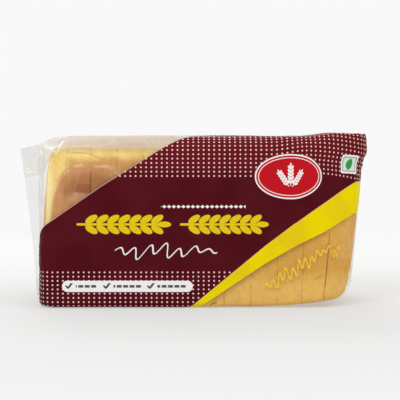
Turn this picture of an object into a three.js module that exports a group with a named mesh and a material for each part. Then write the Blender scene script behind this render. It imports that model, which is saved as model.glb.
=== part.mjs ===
// A sliced tin loaf lying on its long side in a sealed film bag, as one closed solid of the bag's outer shape.
// Millimetres. +X runs along the loaf, +Y away from its printed front, +Z up.
// The origin is on the surface that the bag rests on, under the middle of its length and depth.
// The solid is a row of upright sections across X: a rounded box over the loaf, narrowing at both ends
// to a thin upright fin where the front and back of the film are sealed together.
import * as THREE from "three";

// Whole bag
const LENGTH = 233;
const DEPTH = 105;
const MAIN_TOP = 109.3;

// Rounding of the long edges
const TOP_RADIUS = 10.5;
const TOP_RADIUS_AT_RIGHT = 5;
const BOTTOM_RADIUS = 3.5;

// Fins
const FIN_THICKNESS = 1.6;
const LEFT_FIN_FOOT_WIDTH = 5.6;
const LEFT_FIN_FLARE = 10.6;
const LEFT_FIN_FLARE_POWER = 1.35;
const LEFT_FIN_TIP_TOP = 100.9;
const RIGHT_FIN_WIDTH = 3.6;
const RIGHT_FIN_DROP = 2;

// Left end, seen from above: a corner as round as a superellipse of this length and power
const LEFT_ROOT_X = -100.3;
const LEFT_END_LENGTH = 14;
const LEFT_END_POWER = 4.5;
const LEFT_END_TOP = 104.7;
const LEFT_END_LIFT = 1.8;

// Right end: the front and back slope in first, then turn round a shorter corner
const RIGHT_ROOT_X = 110;
const RIGHT_SLOPE_LENGTH = 26;
const RIGHT_SLOPE = 0.54;
const RIGHT_SLOPE_EASE = 6;
const RIGHT_END_LENGTH = 8;
const RIGHT_END_POWER = 2.6;
const RIGHT_SPREAD_START_X = 62;

// Right end, seen from the front: its edge leans out from the foot and flares at the top
const RIGHT_FOOT_X = 99.7;
const RIGHT_LEAN = 10.2;
const RIGHT_LEAN_HEIGHT = 90;
const RIGHT_LEAN_POWER = 0.62;
const RIGHT_FLARE = 2.5;
const RIGHT_FLARE_START_Z = 91;
const RIGHT_FLARE_END_Z = 101;

// Underside: flat below the middle of the loaf, then rising gently and rounding up at the right end
const FLAT_BASE_END_X = 16;
const UNDERSIDE_RISE = 4.6;
const RIGHT_ROUND_START_X = 90;
const RIGHT_ROUND_RISE = 9;

// Top: a slack swell near the right end
const SWELL_START_X = 72;
const SWELL_END_X = 92;
const SWELL_RISE = 2.2;
const SWELL_FALL = 0.9;

// Tucks: the top film folds down between front and back where the ends close
const TUCK_LENGTH = 22;
const TUCK_DEPTH = 20;
const TUCK_POWER = 3;

// Segments round half a section, from the middle of the underside to the middle of the top
const BOTTOM_SEGMENTS = 3;
const BOTTOM_CORNER_SEGMENTS = 4;
const SIDE_SEGMENTS = 16;
const TOP_CORNER_SEGMENTS = 6;
const TOP_SEGMENTS = 5;

// Stations along the bag
const LEFT_FIN_STATIONS = 3;
const LEFT_END_STATIONS = 9;
const MIDDLE_STATIONS = 12;
const RIGHT_END_STATIONS = 14;

const halfDepth = DEPTH / 2;
const halfFin = FIN_THICKNESS / 2;
const halfLength = LENGTH / 2;

const { clamp, lerp, smoothstep } = THREE.MathUtils;

// Half the depth of an end at a distance from its root, turning a superellipse corner
function cornerHalfDepth(distance, length, power, full) {
  const t = clamp(distance / length, 0, 1);
  return halfFin + (full - halfFin) * Math.pow(1 - Math.pow(1 - t, power), 1 / power);
}

// Half the depth of the bag at a base place along X
function halfDepthAt(x) {
  const left = cornerHalfDepth(x - LEFT_ROOT_X, LEFT_END_LENGTH, LEFT_END_POWER, halfDepth);
  const along = Math.max(0, x - (RIGHT_ROOT_X - RIGHT_SLOPE_LENGTH));
  const slopedIn = (RIGHT_SLOPE * along * along) / (along + RIGHT_SLOPE_EASE);
  const right = cornerHalfDepth(RIGHT_ROOT_X - x, RIGHT_END_LENGTH, RIGHT_END_POWER, halfDepth - slopedIn);
  return Math.min(left, right);
}

// Height of the underside at a base place along X
function undersideAt(x) {
  const left = LEFT_END_LIFT * Math.pow(clamp((LEFT_ROOT_X + LEFT_END_LENGTH - x) / LEFT_END_LENGTH, 0, 1), 2);
  const along = clamp((x - FLAT_BASE_END_X) / (RIGHT_ROUND_START_X - FLAT_BASE_END_X), 0, 1);
  const round = clamp((x - RIGHT_ROUND_START_X) / (RIGHT_ROOT_X - RIGHT_ROUND_START_X), 0, 1);
  return left + UNDERSIDE_RISE * Math.pow(along, 1.5) + RIGHT_ROUND_RISE * (1 - Math.sqrt(1 - round * round));
}

// Height of the top at a base place along X
function topAt(x) {
  const leftFall = (MAIN_TOP - LEFT_END_TOP) * (1 - smoothstep(x, LEFT_ROOT_X, LEFT_ROOT_X + LEFT_END_LENGTH));
  const swell = SWELL_RISE * smoothstep(x, SWELL_START_X, SWELL_END_X);
  const fall = SWELL_FALL * smoothstep(x, SWELL_END_X, RIGHT_ROOT_X);
  return MAIN_TOP - leftFall + swell - fall;
}

// How far the tuck in the top reaches down at a base place along X
function tuckAt(x) {
  const left = 1 - clamp((x - LEFT_ROOT_X) / TUCK_LENGTH, 0, 1);
  const right = 1 - clamp((RIGHT_ROOT_X - x) / TUCK_LENGTH, 0, 1);
  return TUCK_DEPTH * Math.pow(Math.max(left, right), TUCK_POWER);
}

// Outer edge of the left fin at a height
function leftFinEdge(z) {
  const up = clamp(z / LEFT_FIN_TIP_TOP, 0, 1);
  return LEFT_ROOT_X - LEFT_FIN_FOOT_WIDTH - LEFT_FIN_FLARE * Math.pow(up, LEFT_FIN_FLARE_POWER);
}

// Root of the right fin at a height
function rightRoot(z) {
  const lean = RIGHT_LEAN * Math.pow(Math.max(z, 0) / RIGHT_LEAN_HEIGHT, RIGHT_LEAN_POWER);
  const flare = RIGHT_FLARE * smoothstep(z, RIGHT_FLARE_START_Z, RIGHT_FLARE_END_Z);
  return Math.min(RIGHT_FOOT_X + lean + flare, halfLength - RIGHT_FIN_WIDTH);
}

// Moves a base place along X out or in, to follow the leaning right end
function spreadRight(x, z) {
  const share = smoothstep(x, RIGHT_SPREAD_START_X, RIGHT_ROOT_X);
  return x + share * (rightRoot(z) - RIGHT_ROOT_X);
}

// Half a section, as [y, z] points from the middle of the underside to the middle of the top
function halfSection(half, bottom, top, topRadius, tuck) {
  const points = [];
  const lowRound = Math.min(BOTTOM_RADIUS, half);
  const highRound = Math.min(topRadius, half);
  for (let i = 0; i < BOTTOM_SEGMENTS; i++) {
    points.push([((half - lowRound) * i) / BOTTOM_SEGMENTS, bottom]);
  }
  for (let i = 0; i < BOTTOM_CORNER_SEGMENTS; i++) {
    const angle = (i / BOTTOM_CORNER_SEGMENTS) * (Math.PI / 2);
    points.push([half - lowRound * (1 - Math.sin(angle)), bottom + lowRound * (1 - Math.cos(angle))]);
  }
  for (let i = 0; i < SIDE_SEGMENTS; i++) {
    points.push([half, lerp(bottom + lowRound, top - highRound, i / SIDE_SEGMENTS)]);
  }
  for (let i = 0; i < TOP_CORNER_SEGMENTS; i++) {
    const angle = (i / TOP_CORNER_SEGMENTS) * (Math.PI / 2);
    points.push([half - highRound * (1 - Math.cos(angle)), top - highRound * (1 - Math.sin(angle))]);
  }
  for (let i = 0; i <= TOP_SEGMENTS; i++) {
    const inward = i / TOP_SEGMENTS;
    points.push([(half - highRound) * (1 - inward), top - tuck * inward]);
  }
  return points;
}

// A whole section, with the back half first and the front half as its mirror image
function wholeSection(half, placeX) {
  const back = half.map(([y, z]) => new THREE.Vector3(placeX(z), y, z));
  const front = half.slice(1, -1).map(([y, z]) => new THREE.Vector3(placeX(z), -y, z));
  return [...back, ...front.reverse()];
}

// Base places along X between two ends, closer together at the end that turns the corner
function stations(count, place) {
  return Array.from({ length: count }, (_, i) => place(i / count));
}

function bagSections() {
  const sections = [];
  for (const f of stations(LEFT_FIN_STATIONS, (t) => t)) {
    const half = halfSection(halfFin, LEFT_END_LIFT, lerp(LEFT_FIN_TIP_TOP, LEFT_END_TOP, f), halfFin, 0);
    sections.push(wholeSection(half, (z) => lerp(leftFinEdge(z), LEFT_ROOT_X, f)));
  }
  const leftMiddleX = LEFT_ROOT_X + LEFT_END_LENGTH;
  const rightMiddleX = RIGHT_ROOT_X - RIGHT_SLOPE_LENGTH;
  const places = [
    ...stations(LEFT_END_STATIONS, (t) => lerp(LEFT_ROOT_X, leftMiddleX, t * t)),
    ...stations(MIDDLE_STATIONS, (t) => lerp(leftMiddleX, rightMiddleX, t)),
    ...stations(RIGHT_END_STATIONS, (t) => lerp(rightMiddleX, RIGHT_ROOT_X, 1 - (1 - t) * (1 - t))),
    RIGHT_ROOT_X,
  ];
  for (const x of places) {
    const radius = lerp(TOP_RADIUS, TOP_RADIUS_AT_RIGHT, smoothstep(x, SWELL_START_X, SWELL_END_X));
    const half = halfSection(halfDepthAt(x), undersideAt(x), topAt(x), radius, tuckAt(x));
    sections.push(wholeSection(half, (z) => spreadRight(x, z)));
  }
  const tip = halfSection(halfFin, undersideAt(RIGHT_ROOT_X), topAt(RIGHT_ROOT_X) - RIGHT_FIN_DROP, halfFin, 0);
  sections.push(wholeSection(tip, (z) => rightRoot(z) + RIGHT_FIN_WIDTH));
  return sections;
}

// Joins the sections into one closed body: walls between them, and a strip of pairs across each end
function loft(sections) {
  const round = sections[0].length;
  const positions = sections.flat().flatMap((p) => [p.x, p.y, p.z]);
  const triangles = [];
  for (let s = 0; s + 1 < sections.length; s++) {
    for (let i = 0; i < round; i++) {
      const a = s * round + i;
      const b = s * round + ((i + 1) % round);
      triangles.push(a, b, a + round, b, b + round, a + round);
    }
  }
  for (const [start, leftFacing] of [[0, true], [(sections.length - 1) * round, false]]) {
    for (let i = 0; i < round / 2; i++) {
      const a = start + i;
      const b = start + i + 1;
      const c = start + ((round - i - 1) % round);
      const d = start + ((round - i) % round);
      const quad = [];
      if (i > 0) quad.push([a, c, d]);
      if (i < round / 2 - 1) quad.push([a, b, c]);
      for (const [p, q, r] of quad) triangles.push(...(leftFacing ? [p, r, q] : [p, q, r]));
    }
  }
  const geometry = new THREE.BufferGeometry();
  geometry.setAttribute("position", new THREE.Float32BufferAttribute(positions, 3));
  geometry.setIndex(triangles);
  geometry.computeVertexNormals();
  return geometry;
}

const film = new THREE.MeshStandardMaterial({ color: 0x6e2028, roughness: 0.3, metalness: 0 });
const bag = new THREE.Mesh(loft(bagSections()), film);
bag.name = "bread_bag";

const group = new THREE.Group();
group.add(bag);

export default group;
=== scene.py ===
"""A sliced tin loaf in its printed film bag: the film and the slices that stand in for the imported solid.

Sizes are in millimetres in the classes below. Every mesh is written in metres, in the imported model's frame:
+X runs along the loaf, -Y is the printed front and +Z is up.
"""

import logging
import math
import random
from bisect import bisect_right
from dataclasses import dataclass, field, replace
from enum import Enum
from functools import reduce
from typing import Any, Optional, Union

import bmesh
import bpy
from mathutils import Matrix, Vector, noise


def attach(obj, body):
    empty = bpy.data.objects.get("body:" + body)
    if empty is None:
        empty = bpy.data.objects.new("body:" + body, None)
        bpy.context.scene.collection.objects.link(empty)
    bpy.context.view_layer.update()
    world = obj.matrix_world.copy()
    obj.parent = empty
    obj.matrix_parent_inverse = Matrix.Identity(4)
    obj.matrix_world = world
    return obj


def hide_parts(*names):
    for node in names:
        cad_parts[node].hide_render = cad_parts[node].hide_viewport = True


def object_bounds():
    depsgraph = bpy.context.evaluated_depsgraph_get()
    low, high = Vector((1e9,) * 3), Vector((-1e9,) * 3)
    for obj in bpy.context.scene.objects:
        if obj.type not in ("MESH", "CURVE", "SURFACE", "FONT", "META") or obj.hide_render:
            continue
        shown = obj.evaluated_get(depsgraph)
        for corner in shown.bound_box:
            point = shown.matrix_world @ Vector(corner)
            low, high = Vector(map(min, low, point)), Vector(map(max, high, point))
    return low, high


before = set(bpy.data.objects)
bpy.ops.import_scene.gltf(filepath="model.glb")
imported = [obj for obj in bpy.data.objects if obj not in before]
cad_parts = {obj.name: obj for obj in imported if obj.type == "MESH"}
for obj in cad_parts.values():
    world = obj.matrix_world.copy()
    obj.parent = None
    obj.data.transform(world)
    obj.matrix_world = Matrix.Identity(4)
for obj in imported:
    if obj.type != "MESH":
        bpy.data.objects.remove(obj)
CAD_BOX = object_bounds()

LOG = logging.getLogger("bread_bag")
MM = 0.001
SOLID_NODE = "bread_bag"
BODY = "root"
FLAT_MAP = "Flat"
BAKE_MAP = "OFBake"
STRESS = "Stress"
ALONG = "Along"
AROUND = "Around"
LOAF_X = "LoafX"

Colour = tuple[float, float, float]
Pair = tuple[float, float]
Number = Union["Value", float]


def linear(*display: int) -> Colour:
    """Turns a display colour, of 0 to 255, into the linear colour that shaders use."""
    shares = [part / 255 for part in display]
    return tuple(share / 12.92 if share <= 0.04045 else ((share + 0.055) / 1.055) ** 2.4 for share in shares)


def unit(value: float) -> float:
    """Returns a value held between 0 and 1."""
    return min(1.0, max(0.0, value))


def smooth(value: float, low: float, high: float) -> float:
    """Rises from 0 at low to 1 at high, or falls where low is the larger, level at both ends."""
    share = unit((value - low) / (high - low))
    return share * share * (3 - 2 * share)


def blend(low: float, high: float, share: float) -> float:
    """Returns the value a share of the way from low to high."""
    return low + (high - low) * share


def ripple(along: float, across: float, layer: float) -> float:
    """Returns smooth noise of about -1 to 1, the same at every run."""
    return noise.noise(Vector((along, across, layer)))


def as_piece(bm: bmesh.types.BMesh, name: str, *materials: bpy.types.Material) -> bpy.types.Object:
    """Makes a finished mesh an object of the scene.

    Args:
        bm: The mesh in metres, which is freed.
        name: The object's name.
        *materials: Its materials, in the order of the faces' numbers.

    Returns:
        The object.
    """
    mesh = bpy.data.meshes.new(name)
    bm.to_mesh(mesh)
    bm.free()
    for made in materials:
        mesh.materials.append(made)
    piece = bpy.data.objects.new(name, mesh)
    bpy.context.scene.collection.objects.link(piece)
    return piece


class Face(Enum):
    """The two halves of the film, each named with the side of Y that it is on."""

    FRONT = -1
    BACK = 1


class Value:
    """A shader socket that takes part in arithmetic, so that an expression adds its own Math nodes."""

    def __init__(self, nodes: "Nodes", socket: Any) -> None:
        """Wraps a socket of a node tree."""
        self.nodes = nodes
        self.socket = socket

    def math(self, operation: str, *others: Number) -> "Value":
        """Adds a Math node that reads this socket first and then the others."""
        return self.nodes.value("ShaderNodeMath", {"operation": operation}, dict(enumerate((self, *others))))

    def __add__(self, other: Number) -> "Value":
        """Returns the sum."""
        return self.math("ADD", other)

    __radd__ = __add__

    def __sub__(self, other: Number) -> "Value":
        """Returns the difference."""
        return self.math("SUBTRACT", other)

    def __rsub__(self, other: float) -> "Value":
        """Returns a number less this value."""
        return (self * -1.0) + other

    def __mul__(self, other: Number) -> "Value":
        """Returns the product."""
        return self.math("MULTIPLY", other)

    __rmul__ = __mul__

    def __truediv__(self, other: Number) -> "Value":
        """Returns the quotient."""
        return self.math("DIVIDE", other)

    def __abs__(self) -> "Value":
        """Returns the value without its sign."""
        return self.math("ABSOLUTE")

    def __pow__(self, power: float) -> "Value":
        """Returns the value raised to a power."""
        return self.math("POWER", power)

    def least(self, other: Number) -> "Value":
        """Returns the smaller of two values."""
        return self.math("MINIMUM", other)

    def most(self, other: Number) -> "Value":
        """Returns the larger of two values."""
        return self.math("MAXIMUM", other)

    def hypot(self, other: "Value") -> "Value":
        """Returns the distance that this value and another, square to it, make up."""
        return (self * self + other * other).math("SQRT")

    def wrapped(self, pitch: float) -> "Value":
        """Returns the distance to the nearest multiple of a pitch, with its sign."""
        return self - (self / pitch + 0.5).math("FLOOR") * pitch

    def ramp(self, low: float, high: float) -> "Value":
        """Rises smoothly from 0 at low to 1 at high, or falls where low is the larger."""
        inputs = {0: self, 1: min(low, high), 2: max(low, high), 3: float(low > high), 4: float(low < high)}
        return self.nodes.value("ShaderNodeMapRange", {"interpolation_type": "SMOOTHSTEP"}, inputs)


class Nodes:
    """The node tree of one material or world."""

    def __init__(self, owner: Any) -> None:
        """Turns on the nodes of a material or world and empties them."""
        owner.use_nodes = True
        self.tree = owner.node_tree
        self.tree.nodes.clear()

    def add(self, kind: str, settings: Optional[dict] = None, inputs: Optional[dict] = None) -> Any:
        """Adds a node.

        Args:
            kind: The node's type.
            settings: Its properties, set before its sockets.
            inputs: What its sockets hold or are linked to, by name or number.

        Returns:
            The node.
        """
        node = self.tree.nodes.new(kind)
        for name, setting in (settings or {}).items():
            setattr(node, name, setting)
        for place, given in (inputs or {}).items():
            socket = node.inputs[place]
            source = given.socket if isinstance(given, Value) else given
            if isinstance(source, bpy.types.NodeSocket):
                self.tree.links.new(source, socket)
            elif isinstance(source, tuple) and socket.type == "RGBA":
                socket.default_value = (*source, 1.0)
            else:
                socket.default_value = source
        return node

    def value(self, kind: str, settings: Optional[dict] = None, inputs: Optional[dict] = None) -> Value:
        """Adds a node and returns its first result as a value."""
        return Value(self, self.add(kind, settings, inputs).outputs[0])

    def mix(self, share: Number, low: Any, high: Any) -> Any:
        """Mixes two colours, each a tuple or a socket, with the share of the second."""
        settings = {"data_type": "RGBA", "clamp_factor": True}
        return self.add("ShaderNodeMix", settings, {0: share, 6: low, 7: high}).outputs[2]

    def paint(self, ground: Any, *coats: tuple[Number, Any]) -> Any:
        """Paints coats over a ground in turn, each a mask and its colour."""
        return reduce(lambda below, coat: self.mix(coat[0], below, coat[1]), coats, ground)

    def noise(self, place: Any, scale: float, detail: float = 3.0) -> Value:
        """Returns noise of about 0 to 1 at a place, with a scale for each metre."""
        return self.value("ShaderNodeTexNoise", {}, {"Vector": place, "Scale": scale, "Detail": detail})

    def attribute(self, name: str) -> Value:
        """Returns a number that the mesh's points carry."""
        return Value(self, self.add("ShaderNodeAttribute", {"attribute_name": name}).outputs["Fac"])

    def flat_place(self) -> Any:
        """Returns the film's own flat place, along and around the bag."""
        return self.add("ShaderNodeUVMap", {"uv_map": FLAT_MAP}).outputs[0]

    def solid_place(self) -> Any:
        """Returns the place in Object coordinates."""
        return self.add("ShaderNodeTexCoord").outputs["Object"]

    def parts(self, place: Any, count: int) -> list[Value]:
        """Returns the first parts of a place, in millimetres."""
        split = self.add("ShaderNodeSeparateXYZ", {}, {0: place})
        return [Value(self, part) / MM for part in split.outputs[:count]]

    def clear(self, tint: Colour) -> Any:
        """Adds a shader that light goes straight through, dimmed by a tint."""
        return self.add("ShaderNodeBsdfTransparent", {}, {"Color": tint}).outputs[0]

    def layer(self, share: Number, low: Any, high: Any) -> Any:
        """Mixes two shaders, with the share of the second."""
        return self.add("ShaderNodeMixShader", {}, {0: share, 1: low, 2: high}).outputs[0]

    def output(self, shader: Any) -> None:
        """Wires a shader to the material's output."""
        self.add("ShaderNodeOutputMaterial", {}, {"Surface": shader})

    def finish(self, colour: Any, roughness: float, specular: float, height: Value, bump: Pair) -> None:
        """Wires an opaque finish to the material's output.

        Args:
            colour: Its colour.
            roughness: Its roughness.
            specular: How strongly it mirrors.
            height: The height of its fine relief.
            bump: The relief's strength, and its depth in metres.
        """
        relief = self.add("ShaderNodeBump", {}, {"Strength": bump[0], "Distance": bump[1], "Height": height})
        self.output(self.add("ShaderNodeBsdfPrincipled", {}, {
            "Base Color": colour, "Roughness": roughness, "Specular IOR Level": specular,
            "Normal": relief.outputs[0]}).outputs[0])


@dataclass(frozen=True)
class Drawing:
    """Shapes drawn on a flat place, each a mask of 1 inside and 0 outside.

    The edge is half the width of a shape's soft edge.
    """

    u: Value
    v: Value
    edge: float = 0.12

    def turned(self, start: Pair, turn: float) -> tuple[Value, Value]:
        """Returns the places along and across a direction, in degrees, from a start."""
        cosine, sine = math.cos(math.radians(turn)), math.sin(math.radians(turn))
        du, dv = self.u - start[0], self.v - start[1]
        return du * cosine + dv * sine, dv * cosine - du * sine

    def ellipse(self, centre: Pair, radii: Pair, turn: float = 0.0) -> Value:
        """Draws a filled ellipse.

        Args:
            centre: The ellipse's centre.
            radii: Its two radii.
            turn: Its turn in degrees, from +u towards +v.

        Returns:
            The mask.
        """
        along, up = self.turned(centre, turn)
        soft = self.edge / min(radii)
        return (along / radii[0]).hypot(up / radii[1]).ramp(1 + soft, 1 - soft)

    def bar(self, centre: Pair, half: Pair, radius: float) -> Value:
        """Draws a filled box with round corners.

        Args:
            centre: The box's centre.
            half: Half its width and height.
            radius: The radius of its corners.

        Returns:
            The mask.
        """
        across = (abs(self.u - centre[0]) - (half[0] - radius)).most(0.0)
        up = (abs(self.v - centre[1]) - (half[1] - radius)).most(0.0)
        return across.hypot(up).ramp(radius + self.edge, radius - self.edge)

    def reach(self, centre: Pair, radii: Pair, power: float, wobble: Value) -> Value:
        """Returns 0 at the middle of a patch and 1 at its edge.

        Args:
            centre: The patch's centre.
            radii: Its two radii.
            power: How square it is, with 2 for an ellipse.
            wobble: What makes its edge uneven.

        Returns:
            The reach.
        """
        across, up = abs((self.u - centre[0]) / radii[0]), abs((self.v - centre[1]) / radii[1])
        return across ** power + up ** power + wobble

    def line(self, start: Pair, end: Pair, width: float) -> Value:
        """Draws a thin straight line, which fades to its sides.

        Args:
            start: Where the line starts.
            end: Where it ends.
            width: Half its width.

        Returns:
            The mask.
        """
        length = math.dist(start, end)
        along, aside = self.turned(start, math.degrees(math.atan2(end[1] - start[1], end[0] - start[0])))
        ends = along.ramp(-0.6, 0.6) * along.ramp(length + 0.6, length - 0.6)
        return abs(aside).ramp(width, width * 0.2) * ends

    def ear(self, start: Pair, length: float, reach: float, grains: int) -> Value:
        """Draws a lying ear of wheat: pairs of slanting grains along a thin stalk.

        Args:
            start: Where the stalk starts.
            length: The ear's whole length.
            reach: How far the grains stand from the stalk.
            grains: How many pairs of grains.

        Returns:
            The mask.
        """
        pitch = length / (grains + 1)
        last = (grains - 0.5) * pitch
        aside = abs(self.v - start[1])
        cell = self.u - (start[0] + pitch) - aside * 0.75
        inside = cell.ramp(-0.5 * pitch, -0.5 * pitch + 0.01) * cell.ramp(last + 0.01, last)
        across = cell.wrapped(pitch) / (0.46 * pitch)
        up = (aside - reach * 0.54) / (reach * 0.46)
        grain = (across * across + up * up).ramp(1.12, 0.88) * inside
        tip = self.ellipse((start[0] + length, start[1]), (0.62 * pitch, reach * 0.3))
        stalk = self.bar((start[0] + length * 0.48, start[1]), (length * 0.48, reach * 0.12), reach * 0.1)
        return grain.most(tip).most(stalk)

    def flourish(
            self, start: Pair, length: float, turn: float, height: float, wave: float, width: float) -> Value:
        """Draws a thin wavy line that swells and dies away, like a pen's flourish.

        Args:
            start: Where the line starts.
            length: Its length.
            turn: The direction that it runs in, in degrees.
            height: The height of its waves.
            wave: The length of one wave.
            width: Half the line's width.

        Returns:
            The mask.
        """
        along, up = self.turned(start, turn)
        along = along - up * 0.45
        swell = along.ramp(-2.0, length * 0.22) * along.ramp(length + 2.0, length * 0.5)
        swell = (swell * 0.75 + 0.25) * height
        phase = along * (2 * math.pi / wave)
        line = phase.math("SINE") * swell * 0.72 + (phase * 0.37 + 1.1).math("SINE") * swell * 0.38
        steep = (phase + math.pi / 2).math("SINE") * swell * (0.72 * 2 * math.pi / wave)
        gap = abs(up - line) / (steep * steep + 1.0).math("SQRT")
        ends = along.ramp(-0.4, 0.4) * along.ramp(length + 0.4, length - 0.4)
        return gap.ramp(width + 0.14, width - 0.14) * ends


@dataclass(frozen=True)
class Station:
    """One upright section of the bag, at a place along its flat film."""

    u: float
    x: float
    half: float
    left_out: float = 0.0
    right_out: float = 0.0


@dataclass
class BagForm:
    """The bag's outer form in millimetres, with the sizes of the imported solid."""

    half_length: float = CAD_BOX[1][0] / MM
    half_depth: float = CAD_BOX[1][1] / MM
    main_top: float = 109.3
    top_radius: float = 10.5
    top_radius_at_right: float = 5.0
    bottom_radius: float = 3.5
    sheet_gap: float = 0.35
    left_fin_foot_width: float = 5.6
    left_fin_flare: float = 10.6
    left_fin_flare_power: float = 1.35
    left_fin_tip_top: float = 100.9
    right_fin_width: float = 2.6
    right_fin_drop: float = 2.0
    left_root_x: float = -100.3
    left_end_length: float = 14.0
    left_end_power: float = 4.5
    left_end_top: float = 104.7
    left_end_lift: float = 1.8
    right_root_x: float = 110.0
    right_slope_length: float = 26.0
    right_slope: float = 0.54
    right_slope_ease: float = 6.0
    right_end_length: float = 8.0
    right_end_power: float = 2.6
    right_spread_start_x: float = 62.0
    right_foot_x: float = 100.7
    right_lean: float = 10.2
    right_lean_height: float = 90.0
    right_lean_power: float = 0.62
    right_flare: float = 2.5
    right_flare_start_z: float = 91.0
    right_flare_end_z: float = 101.0
    flat_base_end_x: float = 16.0
    underside_rise: float = 3.7
    underside_power: float = 2.5
    right_round_start_x: float = 90.0
    right_round_rise: float = 9.0
    swell_start_x: float = 72.0
    swell_end_x: float = 92.0
    swell_rise: float = 2.2
    swell_fall: float = 0.9
    tuck_length: float = 22.0
    tuck_depth: float = 20.0
    tuck_power: float = 3.0
    low_tuck_length: float = 8.0
    low_tuck_depth: float = 12.0
    left_fin_flat_width: float = 16.0
    print_rise: float = 2.6
    print_rise_start_x: float = 50.0
    print_rise_end_x: float = 74.0
    print_fall: float = 6.0
    print_fall_start_x: float = 66.0
    print_shift_low: float = 50.0
    print_shift_high: float = 84.0
    print_lean: float = 0.05
    print_lean_start: float = 62.0
    print_lean_end: float = 92.0
    print_gather: float = 0.2
    corner_samples: int = 60
    stations: list[Station] = field(default_factory=list)
    places: list[float] = field(default_factory=list)

    def __post_init__(self) -> None:
        """Lays the sections out along the flat film, with 0 at the middle of the bag."""
        path = self.path()
        flat = [0.0]
        for before, after in zip(path, path[1:]):
            fin = abs(after.left_out - before.left_out) * self.left_fin_flat_width
            fin += abs(after.right_out - before.right_out) * self.right_fin_width
            flat.append(flat[-1] + math.hypot(after.x - before.x, after.half - before.half) + fin)
        middle = next(i for i, spot in enumerate(path) if spot.x >= 0)
        zero = flat[middle] - path[middle].x
        self.stations = [replace(spot, u=u - zero) for u, spot in zip(flat, path)]
        self.places = [spot.u for spot in self.stations]

    @property
    def flat_low(self) -> float:
        """The flat place of the middle of the underside."""
        return -(self.half_depth + self.bottom_radius * (math.pi / 2 - 1) - self.bottom_radius)

    @property
    def flat_high(self) -> float:
        """The flat place of the middle of the top."""
        round_top = self.main_top - self.top_radius + self.top_radius * math.pi / 2
        return round_top + self.half_depth - self.top_radius

    def path(self) -> list[Station]:
        """Returns the sections from the left fin's edge to the right fin's edge."""
        left_end = self.left_root_x + self.left_end_length
        right_start = self.right_root_x - self.right_slope_length
        steps = [i / self.corner_samples for i in range(self.corner_samples + 1)]
        bases = [blend(self.left_root_x, left_end, t * t) for t in steps]
        bases += [blend(left_end, right_start, t) for t in steps[1:-1]]
        bases += [blend(right_start, self.right_root_x, 1 - (1 - t) ** 2) for t in steps]
        spots = [Station(0, self.left_root_x, self.sheet_gap, left_out=1 - t) for t in (0.0, 0.5)]
        spots += [Station(0, x, self.half_depth_at(x)) for x in bases]
        spots += [Station(0, self.right_root_x, self.sheet_gap, right_out=t) for t in (0.5, 1.0)]
        return spots

    def corner(self, distance: float, length: float, power: float, full: float) -> float:
        """Returns half the depth at a distance from an end's root, round a superellipse corner."""
        t = unit(distance / length)
        return self.sheet_gap + (full - self.sheet_gap) * (1 - (1 - t) ** power) ** (1 / power)

    def half_depth_at(self, x: float) -> float:
        """Returns half the bag's depth at a base place along X."""
        left = self.corner(x - self.left_root_x, self.left_end_length, self.left_end_power, self.half_depth)
        along = max(0.0, x - (self.right_root_x - self.right_slope_length))
        full = self.half_depth - self.right_slope * along * along / (along + self.right_slope_ease)
        right = self.corner(self.right_root_x - x, self.right_end_length, self.right_end_power, full)
        return min(left, right)

    def underside_at(self, x: float) -> float:
        """Returns the height of the underside at a base place along X."""
        left = unit((self.left_root_x + self.left_end_length - x) / self.left_end_length)
        along = unit((x - self.flat_base_end_x) / (self.right_round_start_x - self.flat_base_end_x))
        turned = unit((x - self.right_round_start_x) / (self.right_root_x - self.right_round_start_x))
        turn = self.right_round_rise * (1 - math.sqrt(1 - turned * turned))
        return self.left_end_lift * left ** 2 + self.underside_rise * along ** self.underside_power + turn

    def top_at(self, x: float) -> float:
        """Returns the height of the top at a base place along X."""
        gone = 1 - smooth(x, self.left_root_x, self.left_root_x + self.left_end_length)
        swell = self.swell_rise * smooth(x, self.swell_start_x, self.swell_end_x)
        fall = self.swell_fall * smooth(x, self.swell_end_x, self.right_root_x)
        return self.main_top - (self.main_top - self.left_end_top) * gone + swell - fall

    def fall_at(self, x: float) -> float:
        """Returns how far the upper print is drawn down at a base place along X."""
        along = max(0.0, x - self.print_fall_start_x) / (self.right_root_x - self.print_fall_start_x)
        rise = self.print_rise * smooth(x, self.print_rise_start_x, self.print_rise_end_x)
        return self.print_fall * along * along - rise

    def spread(self, x: float, z: float) -> float:
        """Returns how far the leaning right end moves a point along X, from its base place and height."""
        share = smooth(x, self.right_spread_start_x, self.right_root_x)
        return share * (self.right_root(z) - self.right_root_x)

    def print_at(self, spot: Station, v: float) -> float:
        """Returns where along the flat print a point is, gathered and askew towards the right end."""
        lean = self.print_lean * smooth(spot.u, self.print_lean_start, self.print_lean_end)
        gather = self.print_gather * max(0.0, spot.u - self.print_fall_start_x)
        spread = self.spread(spot.x, min(v, self.print_lean_end))
        return spot.u + gather + spread + lean * (v - self.print_shift_high)

    def tuck_at(self, x: float, length: float, depth: float) -> float:
        """Returns how deep a tuck is at a base place, from its reach from an end and its depth there."""
        near = min(x - self.left_root_x, self.right_root_x - x)
        return depth * (1 - unit(near / length)) ** self.tuck_power

    def left_fin_edge(self, z: float) -> float:
        """Returns the left fin's outer edge at a height."""
        up = unit(z / self.left_fin_tip_top)
        flare = self.left_fin_flare * up ** self.left_fin_flare_power
        return self.left_root_x - self.left_fin_foot_width - flare

    def right_root(self, z: float) -> float:
        """Returns the right fin's root at a height."""
        lean = self.right_lean * (max(z, 0.0) / self.right_lean_height) ** self.right_lean_power
        flare = self.right_flare * smooth(z, self.right_flare_start_z, self.right_flare_end_z)
        return min(self.right_foot_x + lean + flare, self.half_length - self.right_fin_width)

    def base_at(self, x: float, z: float) -> float:
        """Returns the base place along X of a point at a place and height in the bag."""
        base = x
        for _ in range(6):
            base = x - self.spread(base, z)
        return min(base, self.right_root_x - 1.0)

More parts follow.
